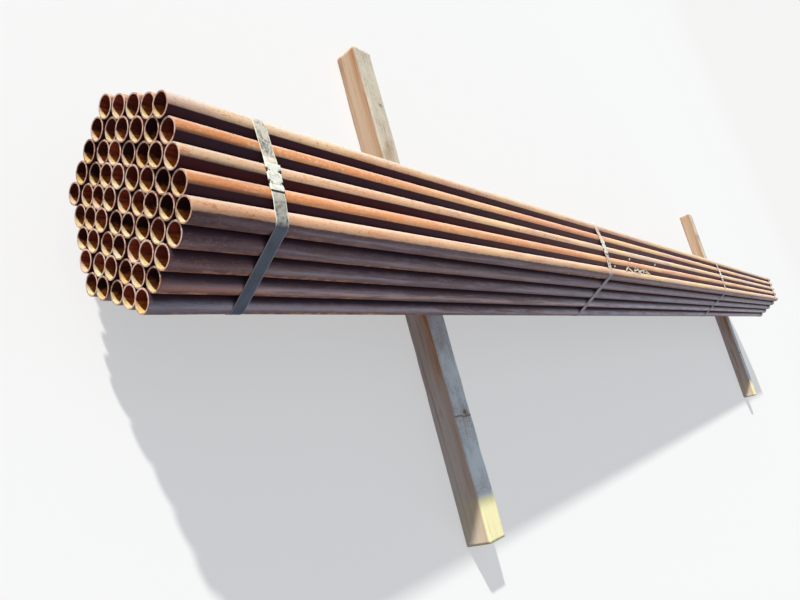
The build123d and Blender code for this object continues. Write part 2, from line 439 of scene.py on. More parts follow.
def floor_material():
    """Pale floor with the object's shadow on it, which far off is as white as the surround."""
    s = new_material("studio_floor")
    s.nodes.remove(s.nodes["Principled BSDF"])
    shown = s.shown_ray()
    reach = s.add("VectorMath", s.place())
    reach.operation = "LENGTH"
    far_off = s.spread(reach.outputs["Value"], 4.5, 14.0)
    matt = s.add("BsdfDiffuse", s.mix(shown, FLOOR_BOUNCE, FLOOR_SHOWN))
    white = s.add("Emission", s.mix(far_off, FULL_WHITE, SURROUND_WHITE))
    share = s.times(shown, s.spread(far_off, 0.0, 1.0, 0.45, 1.0))
    both = s.add("MixShader", share, matt.outputs[0], white.outputs[0])
    s.join(both.outputs[0], s.nodes["Material Output"].inputs["Surface"])
    return s.holder


MATERIALS = {
    "skin": pipe_skin(),
    "bore": pipe_bore(),
    "rim": pipe_rim(),
    "strap": steel_strip("strap_steel", ZINC_PALE, ZINC_DULL, ZINC_SPOT, SLATE_SHADE, SLATE_SHADE_PALE, 0.55),
    "seal": steel_strip("seal_steel", SEAL_PALE, SEAL_DULL, SEAL_SPOT, ZINC_DULL, ZINC_PALE, 0.75),
    "timber": weathered_timber(),
    "chip": dry_chip(),
    "floor": floor_material(),
}


def into_scene(name, data):
    added = bpy.data.objects.new(name, data)
    bpy.context.scene.collection.objects.link(added)
    return added


def mesh_piece(name, vertices, faces, materials, attributes={}, face_materials=None):
    """One mesh object from its points and faces, with point attributes by name."""
    mesh = bpy.data.meshes.new(name)
    mesh.from_pydata(vertices, [], faces)
    for material in materials:
        mesh.materials.append(MATERIALS[material])
    mesh.polygons.foreach_set("use_smooth", [True] * len(faces))
    if face_materials is not None:
        mesh.polygons.foreach_set("material_index", face_materials)
    for key, values in attributes.items():
        layer = mesh.attributes.new(key, "FLOAT", "POINT")
        layer.data.foreach_set("value", values)
    mesh.update()
    return into_scene(name, mesh)


def ring_quads(first, second, flip=False):
    """Faces between two closed rings of points, given by their numbers."""
    quads = zip(first, second, [*second[1:], second[0]], [*first[1:], first[0]])
    return [(a, d, c, b) if flip else (a, b, c, d) for a, b, c, d in quads]


def smooth(value, low, high):
    """Smooth step from 0 at low to 1 at high."""
    t = min(max((value - low) / (high - low), 0.0), 1.0)
    return t * t * (3 - 2 * t)


def facing(degrees):
    """The flat direction at this angle, as its cosine and sine."""
    return math.cos(math.radians(degrees)), math.sin(math.radians(degrees))


# Pipes: a loop of stations along each tube, outside from the near end and back along the bore.
AROUND = 60
RIM_CHAMFER = 0.5 * MM
RIM_FLAT = 0.3 * MM
OUTSIDE_STEPS = (0.5, 6, 40, 100, 160, 240)
INSIDE_STEPS = (0.5, 2.5, 5, 7.5, 10, 12.5, 15, 18, 24, 40, 80, 160, 400)
MIDDLE_START = 0.5
MIDDLE_STEP = 0.45
MIDDLE_STATIONS = 13
STRAP_X = [sum(corner.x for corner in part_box(f"strap_{n}")) / 2 for n in range(1, 5)]
END_SPLAY = 0.01

# Looks of the top pipes, from the near side to the far side. Angles are in degrees round a pipe, from +Y.
TOP_TINTS = (0.78, 0.26, 0.72, 0.22, 0.6)
TOP_DUST = (0.7, 0.45, 0.75, 0.45, 1.0)
TOP_HAZE = (0.3, 0.25, 0.45, 0.4, 0.6)
TOP_REDNESS = (0.2, 0.3, 1.0, 0.2, 0.3)
# Where the painted shade on each top pipe's near flank sets in.
TOP_SHADE_FROM = (113, 111, 107, 108, 112)
UNDERSIDE_FROM = 250
CLOSED_GAP = 61
# The pale mouth is matched to the crescent that the key lamp lights, as painted light.
MOUTH_ANGLE = 211
MOUTH_DEPTH = 13.6 * MM
GLOW_ANGLE = 228

# Looks of the near slope, by layer. The bands of painted sheen, which stand in for a highlight, are given by
# their middle and strength.
NEAR_BROWN = {9: 0.6, 8: 0.7, 7: 1.0, 6: 0.8, 5: 0.0}
FAR_BLUE = {9: 0.35, 8: 0.7, 7: 0.8, 6: 1.0, 5: 0.7}
SHEEN_BANDS = {9: (162, 0.3), 8: (161, 0.38), 7: (144, 0.5), 6: (147, 0.95), 5: (136, 0.81)}
SHEEN_WARMTH = {9: 1.0, 8: 0.6, 7: 0.1, 6: 1.0, 5: 0.15}

# Where along the pipes a look sets in, and where it is full.
HAZE_SETS_IN = (-2.9, -2.0)
HAZE_GROWS = (-1.4, -0.4)
GROOVES_DUSTY = (-3.0, -0.7)
GROOVES_RED = (-1.5, 0.5)
SLOPE_BLUE = (-2.2, -0.5)
SLOPE_CLEAN = (-3.0, -2.2)
TONES = random.Random(61)


def pipes_in_layer(layer):
    return LAYER_COUNT - abs(layer - PIPES_PER_SIDE)


def pipe_shift(layer, place):
    """How far a pipe is pushed along, as in the frame."""
    step = (3 * layer + 2 * place) % 5 - 2
    return END_STAGGER * step / 2


def pipe_profile(shift):
    """Stations of one tube as x, radius and the kind of surface."""
    near, far = NEAR_END_X + shift, FAR_END_X + shift
    middle = [near + MIDDLE_START + MIDDLE_STEP * n for n in range(MIDDLE_STATIONS)]

    def along(steps, between):
        return sorted([near + step * MM for step in steps] + between + [far - step * MM for step in steps])

    bore = PIPE_RADIUS - PIPE_WALL
    outer, inner = PIPE_RADIUS - RIM_CHAMFER, bore + RIM_CHAMFER
    stations = [(near, outer - RIM_FLAT, "rim"), (near, outer, "rim")]
    stations += [(x, PIPE_RADIUS, "skin") for x in along(OUTSIDE_STEPS, middle)]
    stations += [(far, radius, "rim") for radius in (outer, outer - RIM_FLAT, inner + RIM_FLAT, inner)]
    stations += [(x, bore, "bore") for x in reversed(along(INSIDE_STEPS, middle[::3]))]
    stations += [(near, inner, "rim"), (near, inner + RIM_FLAT, "rim")]
    return stations


def angle_apart(first, second):
    return abs((first - second + 180) % 360 - 180)


def contacts_of(layer, place):
    """The ways in which a pipe meets its neighbours, in degrees from +Y."""
    across = place - (pipes_in_layer(layer) - 1) / 2
    found = []
    for angle in range(0, 360, 60):
        side, up = facing(angle)
        other_layer = layer + round(up / facing(60)[1])
        reach = (pipes_in_layer(other_layer) - 1) / 2 + 0.1
        if 1 <= other_layer <= LAYER_COUNT and abs(across + side) <= reach:
            found.append(angle)
    return found


def openness(layer, place, angle):
    """0 in a closed gap or at a contact, and 1 where the surface is well clear of them."""
    contacts = contacts_of(layer, place)
    after = min((contact - angle) % 360 for contact in contacts)
    before = min((angle - contact) % 360 for contact in contacts)
    if before + after < CLOSED_GAP:
        return 0.0
    return smooth(min(before, after), 2, 30)


def on_near_slope(layer, place):
    return layer >= PIPES_PER_SIDE and place == 0


def on_far_slope(layer, place):
    return layer >= PIPES_PER_SIDE and place == pipes_in_layer(layer) - 1


def near_strap_1(x, before, after):
    """1 at the loose near ends, fading to 0 between these distances before and after the first strap."""
    return 1 - smooth(x, STRAP_X[0] - before * MM, STRAP_X[0] + after * MM)


def rust_and_shade_at(layer, place, x, angle):
    """How far rust has gone, by the pipe's place and the way it faces. It also paints light: on the top pipes
    it drops to dark mill scale past the terminator, and on the near slope it grows browner lower down,
    standing in for light from below.
    """
    # On the top pipes, rust drops to dark mill scale past the terminator: painted shade.
    if layer == LAYER_COUNT and angle < UNDERSIDE_FROM:
        if angle < 75:
            return 0.92 - 0.3 * smooth(75 - angle, 44, 75)
        return 0.92 - 0.66 * smooth(angle, 113, 126) + 0.24 * smooth(angle, 146, 175)
    if on_far_slope(layer, place):
        return 0.4 + 0.34 * smooth(90 - angle_apart(angle, 30), 10, 70)
    # On the near slope the lower side is browner, standing in for light from below.
    if on_near_slope(layer, place):
        return 0.18 + 0.34 * smooth(angle, 138, 182) * (1 - 0.45 * smooth(x, *SLOPE_CLEAN))
    return 0.38


def pale_at(layer, place, angle):
    """Dust on the top pipes, either side of the crown that the rain washes."""
    if layer < LAYER_COUNT:
        return 0.25 if on_far_slope(layer, place) else 0.0
    if place == PIPES_PER_SIDE - 1:
        return TOP_DUST[place] * smooth(98 - angle_apart(angle, 0), 2, 32)
    return TOP_DUST[place] * smooth(angle_apart(angle, 89), 8, 34) * (1 - 0.8 * smooth(angle, 98, 112))


def haze_at(place, x):
    """Pale dust on top, more of it toward the far end, and on the loose end of the last pipe."""
    share = 0.4 * smooth(x, *HAZE_SETS_IN) + 0.6 * smooth(x, *HAZE_GROWS)
    if place == PIPES_PER_SIDE - 1:
        share = max(share, 0.8 * near_strap_1(x, 0, 200))
    return TOP_HAZE[place] * share + 0.3 * smooth(x, 0.0, FAR_END_X)


def dull_and_shade_at(layer, place, x, angle):
    """The loose near ends of the top pipes are duller, with painted shade setting in sooner toward the
    groove.
    """
    if layer < LAYER_COUNT:
        return 0.0
    groove = 0.5 if 0 < place < PIPES_PER_SIDE - 1 else 0.1
    return near_strap_1(x, 40, 60) * (0.13 + groove * smooth(angle, 94, 114))


def along_looks(layer, place, x):
    """Looks that change along a pipe but not round it."""
    top, slope = layer == LAYER_COUNT, on_near_slope(layer, place)
    return {
        "haze": haze_at(place, x) if top else 0.0,
        # The dark colour in the top grooves, soiling with painted shade, is redder and paler further along.
        "red": max(TOP_REDNESS[place], 0.9 * smooth(x, *GROOVES_RED)) if top else 0.2,
        "dusty": smooth(x, *GROOVES_DUSTY) if top else 0.0,
        # The shaded slope is brown or slate up to the first strap, and blue-grey further along.
        "brown": NEAR_BROWN[layer] * near_strap_1(x, 50, 80) if slope else 0.0,
        "slate": 0.8 * near_strap_1(x, 0, 150) if slope and layer == PIPES_PER_SIDE else 0.0,
        "blue": FAR_BLUE[layer] * smooth(x, *SLOPE_BLUE) if slope else 0.0,
    }


def sheen_at(layer, place, angle):
    """A painted highlight: the pale sheen band along each near slope pipe, and a faint one on every other
    pipe.
    """
    if not on_near_slope(layer, place):
        return 0.25
    centre, strength = SHEEN_BANDS[layer]
    return strength * (1 - smooth(angle_apart(angle, centre), 6, 34))


def sheen_warmth_at(layer, place, angle):
    """How brown the painted sheen is: grey above and browner lower down, standing in for light from below."""
    return SHEEN_WARMTH[layer] * smooth(angle, 122, 150) if on_near_slope(layer, place) else 0.5


def grime_and_shade_at(layer, place, angle):
    """Soiling with painted shade near the contacts and down the upper side of each near slope pipe, and
    painted shade alone on the top pipes' near flanks past the terminator.
    """
    near_contact = 0.95 * (1 - openness(layer, place, angle))
    # Painted shade on the top pipes' near flanks, from the terminator into the groove.
    if layer == LAYER_COUNT and place > 0 and angle < UNDERSIDE_FROM:
        return max(near_contact, smooth(angle, TOP_SHADE_FROM[place], TOP_SHADE_FROM[place] + 14))
    # Painted shade with soiling down the upper side of each near slope pipe.
    if layer < LAYER_COUNT and on_near_slope(layer, place) and 60 < angle < 180:
        return max(near_contact, min(0.95, 0.8 - (angle - 90) / 66))
    return near_contact


def soot_and_shade_at(layer, place, angle):
    """The darkest colour, in the closed gaps and right at the contacts: soiling with painted shade in these
    creases.
    """
    return 0.9 * (1 - smooth(openness(layer, place, angle), 0.0, 0.5))


def mouth_at(from_end, angle):
    """Pale dust inside the mouth, laid over just the crescent that the key lamp lights, so it also paints
    that light.
    """
    depth = MOUTH_DEPTH * max(0.0, facing(angle - MOUTH_ANGLE)[0])
    return 1 - smooth(from_end, depth, depth * 1.1 + 0.4 * MM)


def glow_at(from_end, angle):
    """Painted bounce light in the bore beyond the mouth, low down, as an orange-brown glow."""
    low = max(0.0, facing(angle - GLOW_ANGLE)[0])
    return low * (1 - smooth(from_end, 60 * MM, 220 * MM))


# Looks that change round a pipe but not along it.
ROUND_LOOKS = {"pale": pale_at, "polish": sheen_at, "warm": sheen_warmth_at, "grime": grime_and_shade_at, "soot": soot_and_shade_at}


def end_offset(layer, place, x):
    """The loose ends of the pipes fan out a little beyond the end straps."""
    y = (place - (pipes_in_layer(layer) - 1) / 2) * PITCH
    z = (layer - PIPES_PER_SIDE) * LAYER_RISE
    near = 1 - smooth(x, NEAR_END_X, STRAP_X[0])
    far = smooth(x, STRAP_X[3], FAR_END_X)
    reach = END_SPLAY * max(near, far)
    return y * reach, z * reach


def pipe_layer(layer):
    """One layer of tubes as one piece."""
    vertices, faces, kinds, points = [], [], [], {}
    names = ["skin", "bore", "rim"]
    angles = [360 * n / AROUND for n in range(AROUND)]
    count = pipes_in_layer(layer)
    for place in range(count):
        axis_y = (place - (count - 1) / 2) * PITCH
        axis_z = BOTTOM_AXIS_Z + (layer - 1) * LAYER_RISE
        tone = TONES.random()
        tint = TONES.uniform(0.2, 0.7)
        if layer == LAYER_COUNT:
            tint = TOP_TINTS[place]
        around = {"tone": [tone] * AROUND, "tint": [tint] * AROUND}
        for key, value_at in ROUND_LOOKS.items():
            around[key] = [value_at(layer, place, angle) for angle in angles]
        shift = pipe_shift(layer, place)
        stations = pipe_profile(shift)
        rings = []
        for x, radius, _ in stations:
            off_y, off_z = end_offset(layer, place, x)
            from_end = min(x - NEAR_END_X - shift, FAR_END_X + shift - x)
            rings.append(range(len(vertices), len(vertices) + AROUND))
            for angle in angles:
                side, up = facing(angle)
                vertices.append((x, axis_y + off_y + radius * side, axis_z + off_z + radius * up))
            along = along_looks(layer, place, x)
            here = around | {key: [value] * AROUND for key, value in along.items()}
            here["weather"] = [rust_and_shade_at(layer, place, x, angle) for angle in angles]
            here["dull"] = [dull_and_shade_at(layer, place, x, angle) for angle in angles]
            here["mouth"] = [mouth_at(from_end, angle) for angle in angles]
            here["glow"] = [glow_at(from_end, angle) for angle in angles]
            for key, values in here.items():
                points.setdefault(key, []).extend(values)
        for n, ring in enumerate(rings):
            after = (n + 1) % len(rings)
            same = stations[n][2] == stations[after][2]
            faces += ring_quads(ring, rings[after])
            kinds += [names.index(stations[n][2] if same else "rim")] * AROUND
    piece = mesh_piece(f"pipes_{layer}", vertices, faces, names, points, kinds)
    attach(piece, "root")
    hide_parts(f"pipe_layer_{layer}")


for layer in range(1, LAYER_COUNT + 1):
    pipe_layer(layer)

# Straps: one strip bent round the hexagon, its two ends lapped on top under a seal. Sizes as in the frame.
strip_low, strip_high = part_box("strap_1")
STRIP_WIDTH = strip_high.x - strip_low.x
STRIP_THICKNESS = 0.8 * MM
STRIP_REST = PIPE_RADIUS / math.cos(math.pi / 24) + 0.1 * MM
STRIP_EASE = 0.25 * MM
STRIP_LANES = (-1.0, -0.88, -0.74, -0.25, 0.25, 0.74, 0.88, 1.0)
STRIP_STEP = 13 * MM
BEND_STEP = 6
SEAL_SHEET = 0.9 * MM
SEAL_GAP = 0.2 * MM
SEAL_LENGTH = 57 * MM
SEAL_HEIGHT = 3.9 * MM
SEAL_BEND = 1.25 * MM
SEAL_LIP = 12 * MM
SEAL_HALF = STRIP_WIDTH / 2 + SEAL_GAP + SEAL_SHEET
SEAL_ACROSS = [sum(corner.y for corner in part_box(f"seal_{n}")) / 2 for n in range(1, 5)]
UNDER_TAIL = 18 * MM
TOP_TAIL = 12 * MM
RAMP = 24 * MM
RAMP_MARGIN = 3 * MM
RAMP_RADIUS = 60 * MM
UNDER_END = PIPE_RADIUS + SEAL_SHEET + 2 * SEAL_GAP
TOP_END = UNDER_END + STRIP_THICKNESS + 0.1 * MM
CRIMP_PITCH = 26 * MM
CRIMP_DEPTH = 4.5 * MM
CRIMP_MOUTH = 10 * MM
CRIMP_THROAT = 5 * MM

# Looks of the straps, from the near end: how far each is bowed on top, and how rusty it is.
STRIP_BOWS = (4 * MM, 15 * MM, 10 * MM, 8 * MM)
STRIP_RUST = (0.12, 0.74, 0.72, 0.78)


def turned(vector, angle):
    """A flat vector turned by this angle."""
    cos, sin = math.cos(angle), math.sin(angle)
    return Vector((vector.x * cos - vector.y * sin, vector.x * sin + vector.y * cos))


def rounded_line(corners, radii):
    """Points along a line with rounded corners, and the way it runs at each of them."""
    points = []

    def run(first, last):
        way = (last - first).normalized()
        count = max(1, round((last - first).length / STRIP_STEP))
        for n in range(count):
            points.append((first + (last - first) * (n / count), way))

    start = corners[0]
    for before, corner, after, radius in zip(corners, corners[1:], corners[2:], radii):
        way_in = (corner - before).normalized()
        way_out = (after - corner).normalized()
        turn = way_in.angle(way_out)
        reach = radius * math.tan(turn / 2)
        run(start, corner - way_in * reach)
        sign = math.copysign(1.0, way_in.x * way_out.y - way_in.y * way_out.x)
        side = Vector((-way_in.y, way_in.x)) * sign
        centre = corner - way_in * reach + side * radius
        steps = max(2, math.ceil(math.degrees(turn) / BEND_STEP))
        for n in range(steps):
            angle = sign * turn * n / steps
            points.append((centre + turned(-side * radius, angle), turned(way_in, angle)))
        start = corner + way_out * reach
    run(start, corners[-1])
    points.append((corners[-1], (corners[-1] - start).normalized()))
    return points


def strip_line(seal_y):
    """The strip's inner face, across and up, from its under end round to its top end."""
    reach = (PIPES_PER_SIDE - 1) * PITCH + STRIP_REST / math.cos(math.radians(30))
    corners = []
    for turn in (60, 0, -60, -120, -180, -240):
        across, up = facing(turn)
        corners.append((reach * across, MIDDLE_AXIS_Z + reach * up))
    rest_z, under_z, top_z = (TOP_AXIS_Z + height for height in (STRIP_REST, UNDER_END, TOP_END))
    under_tip = seal_y - SEAL_LENGTH / 2 - UNDER_TAIL
    top_tip = seal_y + SEAL_LENGTH / 2 + TOP_TAIL
    down_ramp, up_ramp = top_tip + RAMP_MARGIN, under_tip - RAMP_MARGIN
    first = [(under_tip, under_z), (down_ramp, under_z), (down_ramp + RAMP, rest_z)]
    last = [(up_ramp - RAMP, rest_z), (up_ramp, top_z), (top_tip, top_z)]
    radii = [RAMP_RADIUS] * 2 + [STRIP_REST] * len(corners) + [RAMP_RADIUS] * 2
    return rounded_line([Vector(point) for point in first + corners + last], radii)


def strip_bow(y, z, bow):
    """How far the strip is bowed along the pipes, on top only."""
    half = (PIPES_PER_SIDE - 1) / 2 * PITCH
    on_top = smooth(z, TOP_AXIS_Z, TOP_AXIS_Z + PIPE_RADIUS)
    return bow * on_top * max(0.0, 1 - (y / half) ** 2)


def notch_bite(y, seal_y):
    """How deep the crimping tool has bitten into the strip's edge here."""
    from_row = abs(abs(y - seal_y) - CRIMP_PITCH / 2)
    along = (CRIMP_MOUTH / 2 - from_row) / ((CRIMP_MOUTH - CRIMP_THROAT) / 2)
    return min(max(along, 0.0), 1.0) * (CRIMP_DEPTH - SEAL_GAP - SEAL_SHEET)


def strip_section(half):
    """The strip's section with eased edges, as places across, heights and how near the edge each is."""
    high, low = STRIP_THICKNESS - STRIP_EASE, STRIP_EASE
    face = [(lane * (half - STRIP_EASE), smooth(abs(lane), 0.8, 0.94)) for lane in STRIP_LANES]
    points = [(across, STRIP_THICKNESS, near_edge) for across, near_edge in face]
    points += [(half, high, 1.0), (half, low, 1.0)]
    points += [(across, 0.0, near_edge) for across, near_edge in reversed(face)]
    points += [(-half, low, 1.0), (-half, high, 1.0)]
    return points


def strap(number):
    """One strip, bent round the hexagon."""
    x, seal_y, bow = STRAP_X[number], SEAL_ACROSS[number], STRIP_BOWS[number]
    vertices, faces, rings = [], [], []
    lee, edge, dull = [], [], []
    for point, way in strip_line(seal_y):
        out = Vector((-way.y, way.x))
        in_seal = point.y > TOP_AXIS_Z and abs(point.x - seal_y) < SEAL_LENGTH / 2
        section = strip_section(STRIP_WIDTH / 2 - (notch_bite(point.x, seal_y) if in_seal else 0.0))
        rings.append(range(len(vertices), len(vertices) + len(section)))
        for across, height, near_edge in section:
            place = point + out * height
            vertices.append((x + strip_bow(point.x, point.y, bow) + across, place.x, place.y))
            edge.append(near_edge)
        angle = math.degrees(math.atan2(out.y, out.x))
        # 1 where the strap is turned from the key lamp and painted in shade.
        lee += [smooth(angle_apart(angle, 75), 42, 60)] * len(section)
        dull += [1 - smooth(point.x, seal_y - SEAL_LENGTH, seal_y - SEAL_LENGTH / 2)] * len(section)
    for first, second in zip(rings, rings[1:]):
        faces += ring_quads(first, second, True)
    faces += [tuple(reversed(rings[0])), tuple(rings[-1])]
    attributes = {"lee": lee, "edge": edge, "rusty": [STRIP_RUST[number]] * len(vertices), "dull": dull}
    piece = mesh_piece(f"strap_steel_{number + 1}", vertices, faces, ["strap"], attributes)
    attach(piece, "root")
    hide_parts(f"strap_{number + 1}")


# Seals: how the sheet is cut up, where it flares, how the crimping tool has dented and torn it, and where
# dark quads and dots paint the shade in its notches and under its near end.
LIP_CELLS = 5
BEND_CELLS = 4
TOP_CELLS = 18
END_CELLS = 8
BETWEEN_CELLS = 10
NOTCH_LANES = [-1 + n / 3 for n in range(7)]
NOTCH_ROWS = (-CRIMP_PITCH / 2, CRIMP_PITCH / 2)
HALF_MOUTH = CRIMP_MOUTH / 2
HALF_THROAT = CRIMP_THROAT / 2
UPPER_FROM = 2 * MM
FLARE_LEAST = 1 * MM
FLARE_MORE = 3.5 * MM
DENT_DEPTH = 0.55 * MM
WAVE_DEPTH = 0.22 * MM
SQUEEZE = 0.4 * MM
NOTCH_END_DEPTH = 6.5 * MM
NOTCH_SHADE_HEIGHT = 1.8 * MM
NOTCH_SHADE_INSET = 0.6 * MM
END_SHADE_REACH = 3.6 * MM
END_SHADE_OVERLAP = 1 * MM
END_SHADE_HEIGHT = 2.75 * MM
SEAL_DENTS = random.Random(7)


def seal_profile():
    """Middle of the folded sheet, across and up from the sleeve's foot, from lip to lip."""
    half = SEAL_HALF - SEAL_SHEET / 2
    low = SEAL_SHEET / 2
    high = SEAL_HEIGHT - SEAL_SHEET / 2
    inner = half - SEAL_BEND
    lip = SEAL_LIP - SEAL_BEND
    points = [(-half + SEAL_LIP - n * lip / LIP_CELLS, low) for n in range(LIP_CELLS + 1)]
    corners = (
        (-inner, low + SEAL_BEND, 270),
        (-inner, high - SEAL_BEND, 180),
        (inner, high - SEAL_BEND, 90),
        (inner, low + SEAL_BEND, 0),
    )
    for cx, cz, first in corners:
        for n in range(1, BEND_CELLS + 1):
            across, up = facing(first - 90 * n / BEND_CELLS)
            points.append((cx + SEAL_BEND * across, cz + SEAL_BEND * up))
        if first == 180:
            points += [(-inner + 2 * inner * n / TOP_CELLS, high) for n in range(1, TOP_CELLS + 1)]
    points += [(inner - n * lip / LIP_CELLS, low) for n in range(1, LIP_CELLS + 1)]
    return points


def seal_stations():
    """Stations along a seal as place, lane across a notch and its row, or 0 between notches."""
    end = SEAL_LENGTH / 2 - CRIMP_PITCH / 2 - HALF_MOUTH
    between = CRIMP_PITCH - CRIMP_MOUTH
    stations = [(-SEAL_LENGTH / 2 + n * end / END_CELLS, 0, 0) for n in range(END_CELLS + 1)]
    for number, row in enumerate(NOTCH_ROWS, start=1):
        stations += [(row + lane * HALF_MOUTH, lane, number) for lane in NOTCH_LANES]
    start = NOTCH_ROWS[0] + HALF_MOUTH
    stations += [(start + n * between / BETWEEN_CELLS, 0, 0) for n in range(1, BETWEEN_CELLS)]
    start = NOTCH_ROWS[1] + HALF_MOUTH
    stations += [(start + n * end / END_CELLS, 0, 0) for n in range(1, END_CELLS + 1)]
    return sorted(set(stations))


def seal(number):
    """A folded seal with two rows of notches cut in its edges, and painted shade in each notch."""
    x = STRAP_X[number]
    seal_y = SEAL_ACROSS[number]
    foot = TOP_AXIS_Z + PIPE_RADIUS + SEAL_GAP
    profile = seal_profile()
    stations = seal_stations()
    yaw_cos, yaw_sin = facing(SEAL_DENTS.uniform(-2.5, 2.5))
    offset = SEAL_DENTS.uniform(0.2, 1.0) * MM
    bow = strip_bow(seal_y, TOP_AXIS_Z + PIPE_RADIUS, STRIP_BOWS[number])
    vertices, faces, edge, pit = [], [], [], []

    def add(across, here, up, near_edge, shaded_gap):
        flare = FLARE_LEAST + FLARE_MORE * smooth(here, -2 * MM, 17 * MM)
        px = across + flare * max(0.0, across / SEAL_HALF) ** 3
        place_x = x + bow + offset * 0.4 + px * yaw_cos - here * yaw_sin
        place_y = seal_y + px * yaw_sin + here * yaw_cos
        vertices.append((place_x, place_y, foot + up))
        edge.append(near_edge)
        pit.append(shaded_gap)

    def shade_patch(corners, height, flip):
        """A dark quad inside the seal: painted shade that shows as a gap."""
        start = len(vertices)
        for across, along in corners:
            add(across, along, height, 0.0, 1.0)
        patch = tuple(range(start, start + 4))
        faces.append(tuple(reversed(patch)) if flip else patch)

    for y, lane, row in stations:
        for across, up in profile:
            depth = SEAL_HALF - abs(across)
            here = y
            if row:
                narrow = HALF_THROAT + (HALF_MOUTH - HALF_THROAT) * (1 - min(depth / CRIMP_DEPTH, 1.0))
                here = NOTCH_ROWS[row - 1] + lane * narrow
            from_row = min(abs(here - row_y) for row_y in NOTCH_ROWS)
            near = 1 - smooth(from_row, HALF_THROAT, HALF_MOUTH * 1.5)
            lowered, notch_end_shade = up, 0.0
            if up > UPPER_FROM:
                dent = DENT_DEPTH * near * smooth(CRIMP_DEPTH * 2.6 - depth, 0, CRIMP_DEPTH * 1.6)
                wave = WAVE_DEPTH * noise.noise(Vector((across * 90, here * 90, number * 3.1)))
                lowered = up - dent - max(0.0, wave)
                # Painted shade: a dark dot at the inner end of each notch.
                from_notch_end = math.hypot(depth - NOTCH_END_DEPTH, from_row)
                notch_end_shade = 1 - smooth(from_notch_end, 0.8 * MM, 2.6 * MM)
            inward = SQUEEZE * near * smooth(CRIMP_DEPTH * 1.6 - depth, 0, CRIMP_DEPTH * 1.6)
            end = SEAL_LENGTH / 2 - abs(here)
            near_edge = max(1 - smooth(end, 0, 1.2 * MM), smooth(1.4 * MM - abs(depth), 0, 1.2 * MM) * 0.8)
            add(across - math.copysign(inward, across), here, lowered, near_edge, notch_end_shade)
    width = len(profile)
    for ring in range(len(stations) - 1):
        row = stations[ring][2]
        bitten = row and stations[ring + 1][2] == row
        for n in range(width - 1):
            depth = SEAL_HALF - (abs(profile[n][0]) + abs(profile[n + 1][0])) / 2
            if bitten and depth < CRIMP_DEPTH:
                continue
            a, b = ring * width, (ring + 1) * width
            faces.append((a + n, b + n, b + n + 1, a + n + 1))

    # Painted shadow: a dark quad under the seal's near end, and one in each notch.
    half_strip = STRIP_WIDTH / 2
    front, back = -END_SHADE_REACH - SEAL_LENGTH / 2, END_SHADE_OVERLAP - SEAL_LENGTH / 2
    corners = [(-half_strip, front), (half_strip, front), (half_strip, back), (-half_strip, back)]
    shade_patch(corners, END_SHADE_HEIGHT, False)
    for row in NOTCH_ROWS:
        for side in (-1, 1):
            outer, inner = side * (SEAL_HALF - NOTCH_SHADE_INSET), side * (SEAL_HALF - CRIMP_DEPTH)
            corners = (
                (outer, row - HALF_MOUTH), (inner, row - HALF_THROAT),
                (inner, row + HALF_THROAT), (outer, row + HALF_MOUTH),
            )
            shade_patch(corners, NOTCH_SHADE_HEIGHT, side > 0)
    piece = mesh_piece(f"seal_steel_{number + 1}", vertices, faces, ["seal"], {"edge": edge, "pit": pit})
    sheet = piece.modifiers.new("sheet", "SOLIDIFY")
    sheet.thickness = SEAL_SHEET
    sheet.offset = 0.0
    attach(piece, "root")
    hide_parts(f"seal_{number + 1}")


for number in range(4):
    strap(number)
    seal(number)

# Bearers: rough-sawn timber with worn edges. Knots are given as place along, across and size.
BEARER_WIDTH = 92 * MM
BEARER_HEIGHT = 95 * MM
BEARER_LENGTH = 1829 * MM
BEARER_EDGE = 4 * MM
BEARERS = {"bearer_front": math.radians(-0.7), "bearer_rear": math.radians(-4.0)}
HALF_WIDTH = BEARER_WIDTH / 2
HALF_HEIGHT = BEARER_HEIGHT / 2
SIDE_CELLS = 22
EDGE_CELLS = 3
LONG_CELLS = 220
END_RINGS = (0.985, 0.8, 0.6, 0.4, 0.2)
CUT_DEPTH = 0.5 * MM
END_CUT_DEPTH = 0.6 * MM
WORN_DEPTH = 2.4 * MM
WORN_REACH = 9 * MM
FOOT_HEIGHT = 1.5 * MM
KNOTS = ((-0.496, 0.012, 0.019), (0.41, -0.012, 0.02), (0.68, 0.02, 0.016))
STAIN_ALONG = (-0.46, -0.31)
# Where the painted sunlight on the timbers sets in, from the middle.
SUN_PATCH_FROM = (0.765, 0.78)
FAR_SIDE_FROM = (0.1, 0.25)


def bearer_outline():
    """Points round the timber's section, across and up from its middle."""
    inner_width, inner_height = HALF_WIDTH - BEARER_EDGE, HALF_HEIGHT - BEARER_EDGE
    centres = [(side * inner_width, up * inner_height) for side, up in ((1, 1), (-1, 1), (-1, -1), (1, -1))]

    def on_corner(centre, degrees):
        across, up = facing(degrees)
        return Vector((centre[0] + BEARER_EDGE * across, centre[1] + BEARER_EDGE * up))

    points = []
    for index, centre in enumerate(centres):
        first = 90 * index
        points += [on_corner(centre, first + 90 * n / EDGE_CELLS) for n in range(EDGE_CELLS + 1)]
        start = points[-1]
        end = on_corner(centres[(index + 1) % 4], first + 90)
        points += [start.lerp(end, n / SIDE_CELLS) for n in range(1, SIDE_CELLS)]
    return points


